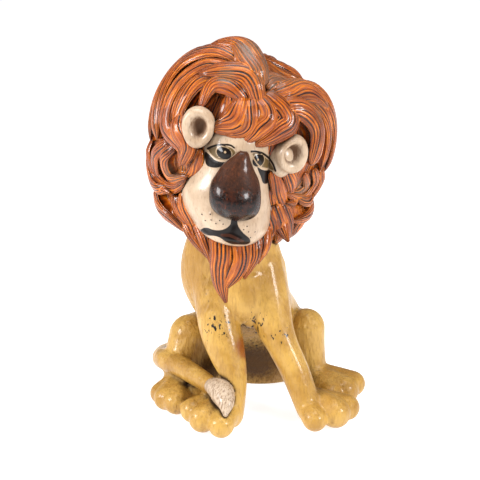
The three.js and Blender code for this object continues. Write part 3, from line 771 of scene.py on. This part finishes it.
def sheltered(mesh, around):
    """How closed in each point is by the skins around, from 0 in the open to 1 in a deep hollow."""
    points, normals = points_of(mesh), normals_of(mesh)
    corners, faces = [], []
    for skin in around:
        faces += [tuple(v + len(corners) for v in p.vertices) for p in skin.polygons]
        corners += points_of(skin).tolist()
    tree = BVHTree.FromPolygons(corners, faces)
    k = np.arange(SHELTER_RAYS) + 0.5
    level, turn = np.sqrt(k / SHELTER_RAYS), k * 2.4
    fan = np.stack([level * np.cos(turn), level * np.sin(turn), np.sqrt(1 - level ** 2)], -1)
    side = unit(np.cross(normals, np.where(np.abs(normals[:, 2:]) < 0.9, UP, FRONT)))
    other = np.cross(normals, side)
    found = np.zeros(len(points))
    start = points + normals * SHELTER_GAP
    for ray in fan:
        ways = side * ray[0] + other * ray[1] + normals * ray[2]
        for i, (origin, way) in enumerate(zip(start.tolist(), ways.tolist())):
            distance = tree.ray_cast(origin, way, SHELTER_REACH)[3]
            if distance is not None:
                found[i] += 1 - distance / SHELTER_REACH
    return found / SHELTER_RAYS


# Shaders

PLAIN_SPECULAR, COAT_ROUGHNESS = 0.3, 0.14


def colour(code):
    """The linear colour of a hex code."""
    values = [int(code[i:i + 2], 16) / 255 for i in (1, 3, 5)]
    return (*[v / 12.92 if v < 0.04045 else ((v + 0.055) / 1.055) ** 2.4 for v in values], 1)


class Paint:
    """A small hand for one material's nodes."""

    def __init__(self, name):
        self.material = bpy.data.materials.get(name) or bpy.data.materials.new(name)
        self.material.use_nodes = True
        self.tree = self.material.node_tree
        self.shader = self.tree.nodes["Principled BSDF"]

    def node(self, kind, **settings):
        made = self.tree.nodes.new(kind)
        for key, value in settings.items():
            setattr(made, key, value)
        return made

    def put(self, socket, value):
        if isinstance(value, bpy.types.NodeSocket):
            self.tree.links.new(value, socket)
        else:
            socket.default_value = value

    def attribute(self, name):
        return self.node("ShaderNodeAttribute", attribute_name=name).outputs["Fac"]

    def strands(self, across, down):
        """The strand map, stretched so that noise on it runs along the hair."""
        scaled = self.node("ShaderNodeMapping")
        self.put(scaled.inputs["Vector"], self.node("ShaderNodeUVMap", uv_map="strand").outputs["UV"])
        scaled.inputs["Scale"].default_value = (1 / across, 1 / down, 1)
        return scaled.outputs["Vector"]

    def place(self, scale):
        """Places on the object, with this many noise cells to the millimetre."""
        scaled = self.node("ShaderNodeMapping")
        self.put(scaled.inputs["Vector"], self.node("ShaderNodeTexCoord").outputs["Object"])
        scaled.inputs["Scale"].default_value = [s / MM for s in scale]
        return scaled.outputs["Vector"]

    def noise(self, vector, detail, rough=0.5):
        made = self.node("ShaderNodeTexNoise")
        self.put(made.inputs["Vector"], vector)
        for key, value in (("Scale", 1), ("Detail", detail), ("Roughness", rough)):
            made.inputs[key].default_value = value
        return made.outputs["Fac"]

    def math(self, operation, a, b):
        made = self.node("ShaderNodeMath", operation=operation)
        self.put(made.inputs[0], a)
        self.put(made.inputs[1], b)
        return made.outputs[0]

    def range(self, value, low, high, to_low=0.0, to_high=1.0):
        made = self.node("ShaderNodeMapRange", interpolation_type="SMOOTHSTEP")
        self.put(made.inputs["Value"], value)
        limits = (("From Min", low), ("From Max", high), ("To Min", to_low), ("To Max", to_high))
        for key, limit in limits:
            made.inputs[key].default_value = limit
        return made.outputs["Result"]

    def mix(self, share, first, second):
        made = self.node("ShaderNodeMix", data_type="RGBA")
        self.put(made.inputs["Factor"], share)
        self.put(made.inputs[6], first)
        self.put(made.inputs[7], second)
        return made.outputs[2]

    def bump(self, height, distance, strength, below=None):
        made = self.node("ShaderNodeBump")
        made.inputs["Distance"].default_value = distance * MM
        made.inputs["Strength"].default_value = strength
        self.put(made.inputs["Height"], height)
        if below is not None:
            self.put(made.inputs["Normal"], below)
        return made.outputs["Normal"]

    def finish(self, base, roughness, normal, coat, specular=PLAIN_SPECULAR):
        self.put(self.shader.inputs["Base Color"], base)
        self.put(self.shader.inputs["Roughness"], roughness)
        self.put(self.shader.inputs["Normal"], normal)
        self.put(self.shader.inputs["Coat Weight"], coat)
        self.shader.inputs["Coat Roughness"].default_value = COAT_ROUGHNESS
        self.put(self.shader.inputs["Specular IOR Level"], specular)


def paint_mane():
    p = Paint("mane")
    fine = p.noise(p.strands(0.8, 18), 4, 0.65)
    long = p.noise(p.strands(5, 70), 2)
    broad = p.noise(p.place((0.035, 0.035, 0.035)), 3)
    # Painted shade and strand lines: ridges stay orange, and by cut depth the grooves and lock keels go
    # from rust to near black; the fine noise adds dark lines along the strands.
    groove_shade_and_strands = p.math("ADD", p.math("MULTIPLY", p.attribute("groove"), 0.6), fine)
    base = p.mix(p.range(groove_shade_and_strands, 0.42, 0.7), colour("#DE7F1E"), colour("#A64A0C"))
    base = p.mix(p.range(broad, 0.46, 0.68, 0, 0.6), base, colour("#8C3A10"))
    base = p.mix(p.range(long, 0.5, 0.62, 0, 0.62), base, colour("#5E250C"))
    base = p.mix(p.range(groove_shade_and_strands, 0.6, 0.92), base, colour("#2C1409"))
    # Grey in the grooves at the spots: a grey wash on the crown, painted shade in the bowls of the two low
    # curls.
    grey_wash_and_shade = p.math("MULTIPLY", p.attribute("grey_wash_and_shade"), p.range(groove_shade_and_strands, 0.35, 0.8, 0.3, 1))
    base = p.mix(p.range(grey_wash_and_shade, 0.25, 0.85, 0, 0.7), base, colour("#6B5643"))
    # Painted shade: near black where other forms close the mane in.
    base = p.mix(p.range(p.attribute("shelter"), 0.25, 0.75), base, colour("#1C0B06"))
    normal = p.bump(p.math("MULTIPLY", groove_shade_and_strands, -1.0), 1.6, 1.0)
    p.finish(base, p.range(fine, 0.3, 0.7, 0.17, 0.34), normal, 0.4)


def paint_coat():
    p = Paint("coat")
    shelter, painted_shade = p.attribute("shelter"), p.attribute("painted_shade")
    strokes = p.noise(p.place((0.4, 0.4, 0.05)), 4, 0.65)
    broad = p.noise(p.place((0.02, 0.02, 0.02)), 4, 0.6)
    speck = p.noise(p.place((0.3, 0.3, 0.18)), 3, 0.5)
    lumps = p.bump(p.noise(p.place((0.12, 0.12, 0.07)), 2), 3.5, 0.8)
    base = p.mix(p.range(broad, 0.38, 0.64), colour("#C2984A"), colour("#A3772E"))
    base = p.mix(p.range(strokes, 0.48, 0.72, 0, 0.45), base, colour("#80591F"))
    # Painted shade: dark brown under the belly, between the legs, in the crotch and by a front paw, mixed
    # with the brush strokes.
    shade_and_strokes = p.math("ADD", p.math("MULTIPLY", painted_shade, 0.9), p.math("MULTIPLY", strokes, 0.5))
    base = p.mix(p.range(shade_and_strokes, 0.42, 1.05, 0, 0.95), base, colour("#3B2208"))
    rust = p.math("ADD", p.math("MULTIPLY", p.attribute("rusty"), 0.8), p.math("MULTIPLY", broad, 0.6))
    base = p.mix(p.range(rust, 0.55, 0.9, 0, 0.8), base, colour("#7E380C"))
    # Painted shade: dark brown where other forms close the coat in.
    base = p.mix(p.range(shelter, 0.06, 0.42, 0, 0.95), base, colour("#2E1B08"))
    chip = p.math("ADD", p.math("MULTIPLY", p.attribute("chipped"), 0.24), speck)
    base = p.mix(p.range(chip, 0.76, 0.79), base, colour("#140D08"))
    dull = p.math("MAXIMUM", p.range(shade_and_strokes, 0.4, 0.9), p.range(shelter, 0.05, 0.35))
    rough = p.math("MAXIMUM", p.range(strokes, 0.3, 0.7, 0.28, 0.48), p.math("MULTIPLY", dull, 0.8))
    p.finish(base, rough, p.bump(strokes, 1.2, 0.9, lumps), p.range(dull, 0, 0.8, 0.25, 0))


def paint_face():
    p = Paint("face")
    broad = p.noise(p.place((0.05, 0.05, 0.05)), 3)
    strokes = p.noise(p.place((0.5, 0.5, 0.12)), 3, 0.6)
    base = p.mix(p.range(broad, 0.35, 0.65), colour("#C2AA90"), colour("#AE947A"))
    base = p.mix(p.range(strokes, 0.5, 0.75, 0, 0.55), base, colour("#80644B"))
    # The ear hollows and the faint rings on their rims are painted dark brown: a brown wash and painted
    # shade.
    hollow = p.math("ADD", p.attribute("groove"), p.math("MULTIPLY", strokes, 0.5))
    base = p.mix(p.range(hollow, 0.35, 1.0, 0, 0.9), base, colour("#54321A"))
    # Painted shade: dark brown where other forms close the face in.
    base = p.mix(p.range(p.attribute("shelter"), 0.2, 0.75), base, colour("#4A2E1B"))
    for name, code in zip(PAINTS, ("#5F4B2C", "#120C0A", "#A88E70", "#3D2117")):
        base = p.mix(p.range(p.attribute(name), 1.7, 2.3), base, colour(code))
    raised = p.bump(p.attribute("ink"), 0.3, 0.6)
    dull = p.range(hollow, 0.4, 0.9)
    rough = p.range(dull, 0, 1, 0.28, 0.75)
    dark = p.range(p.attribute("ink"), 1.7, 2.3, 0.3, 0.1)
    p.finish(base, rough, p.bump(strokes, 0.5, 0.5, raised), p.range(dull, 0, 1, 0.3, 0), dark)


def paint_nose():
    p = Paint("nose")
    upper = p.attribute("upper")
    broad = p.noise(p.place((0.1, 0.1, 0.1)), 4, 0.65)
    fine = p.noise(p.place((0.5, 0.5, 0.25)), 3, 0.6)
    base = p.mix(p.range(broad, 0.45, 0.66, 0, 0.8), colour("#100908"), colour("#351A12"))
    base = p.mix(p.math("MULTIPLY", upper, p.range(fine, 0.3, 0.6, 0.4, 0.9)), base, colour("#4C2A18"))
    base = p.mix(p.range(fine, 0.56, 0.7, 0, 0.5), base, colour("#6B3117"))
    rough = p.math("ADD", p.math("MULTIPLY", upper, 0.25), p.range(broad, 0.4, 0.6, 0.16, 0.26))
    p.finish(base, rough, p.bump(fine, 0.9, 0.8), 0.3, 0.12)


def paint_tuft():
    p = Paint("tuft")
    strokes = p.noise(p.place((0.5, 0.5, 0.09)), 3, 0.6)
    base = p.mix(p.range(strokes, 0.45, 0.62), colour("#C4AD94"), colour("#8F755C"))
    # Painted shade: dark brown where other forms close the tuft in.
    base = p.mix(p.range(p.attribute("shelter"), 0.2, 0.75), base, colour("#3E2814"))
    p.finish(base, 0.36, p.bump(strokes, 1.4, 0.9), 0.25)


# Stage

FLOOR_HALF, FLOOR_GREY, FLOOR_GLOW, WORLD_GLOW = 12000, 0.6, 0.84, 0.28
WHITE = (1, 1, 1, 1)
LIGHTS = [
    ("right", (1.3, -0.95, 0.9), 0.45, 26),
    ("left", (-1.6, -0.6, 0.9), 0.6, 38),
    ("top", (0.0, -0.1, 1.8), 1.0, 20),
]
LIGHTS_AIM = (0, 0, 0.22)

# The photo is 480 pixels wide, and its focal length is 1119.43 pixels.
SENSOR_WIDTH = 36
LENS = SENSOR_WIDTH * 1119.43 / 480
CAMERA_PLACE = np.array([-22, -1250, 560]) + CENTRING
CAMERA_TARGET = np.array([-22, 0, 195]) + CENTRING


def stage():
    floor = mesh_object("floor", *box_mesh(FLOOR_HALF, -10, 0), COAT)
    floor.data.materials.clear()
    paint = Paint("floor")
    paint.shader.inputs["Base Color"].default_value = (FLOOR_GREY, FLOOR_GREY, FLOOR_GREY, 1)
    paint.shader.inputs["Emission Color"].default_value = WHITE
    paint.shader.inputs["Emission Strength"].default_value = FLOOR_GLOW
    paint.shader.inputs["Roughness"].default_value = 0.9
    floor.data.materials.append(paint.material)
    floor.data.transform(Matrix.Scale(MM, 4))
    world = bpy.context.scene.world or bpy.data.worlds.new("studio")
    bpy.context.scene.world = world
    world.use_nodes = True
    world.node_tree.nodes["Background"].inputs["Color"].default_value = WHITE
    world.node_tree.nodes["Background"].inputs["Strength"].default_value = WORLD_GLOW
    bpy.context.scene.view_settings.view_transform = "Standard"


def soft_light(name, place, size, power):
    light = bpy.data.lights.new(name, "AREA")
    light.shape, light.size, light.energy = "SQUARE", size, power
    lamp = bpy.data.objects.new(name, light)
    lamp.location = place
    lamp.rotation_euler = (Vector(LIGHTS_AIM) - Vector(place)).to_track_quat("-Z", "Y").to_euler()
    bpy.context.scene.collection.objects.link(lamp)


def camera():
    data = bpy.data.cameras.new("camera")
    data.lens, data.sensor_width = LENS, SENSOR_WIDTH
    made = bpy.data.objects.new("camera", data)
    made.location = Vector(CAMERA_PLACE * MM)
    aim = Vector((CAMERA_TARGET - CAMERA_PLACE).tolist())
    made.rotation_euler = aim.to_track_quat("-Z", "Y").to_euler()
    bpy.context.scene.collection.objects.link(made)
    bpy.context.scene.camera = made


# The lion and its surroundings

camera()
skins = {"painted_mane": mane_skin(), "painted_head": head_skin(), "painted_body": body_skin()}
store(skins["painted_mane"], "grey_wash_and_shade", wash_and_shade_at(skins["painted_mane"]))
for zone, places in (("chipped", CHIPPED), ("painted_shade", PAINTED_SHADE_PLACES), ("rusty", RUSTY)):
    store(skins["painted_body"], zone, near_places(points_of(skins["painted_body"]), places))
for name, skin in skins.items():
    skin.polygons.foreach_set("use_smooth", np.ones(len(skin.polygons), bool))
    # The shelter value darkens every material's colour in closed-in places: painted shade.
    store(skin, "shelter", sheltered(skin, skins.values()))
for name, skin in skins.items():
    print(name, "triangles", sum(len(p.vertices) - 2 for p in skin.polygons))
    skin.transform(Matrix.Scale(MM, 4) @ Matrix.Translation(CENTRING))
    piece = bpy.data.objects.new(name, skin)
    bpy.context.scene.collection.objects.link(piece)
    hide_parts("lion")
    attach(piece, "root")

paint_mane()
paint_coat()
paint_face()
paint_nose()
paint_tuft()
stage()
for name, place, size, power in LIGHTS:
    soft_light(name, place, size, power)
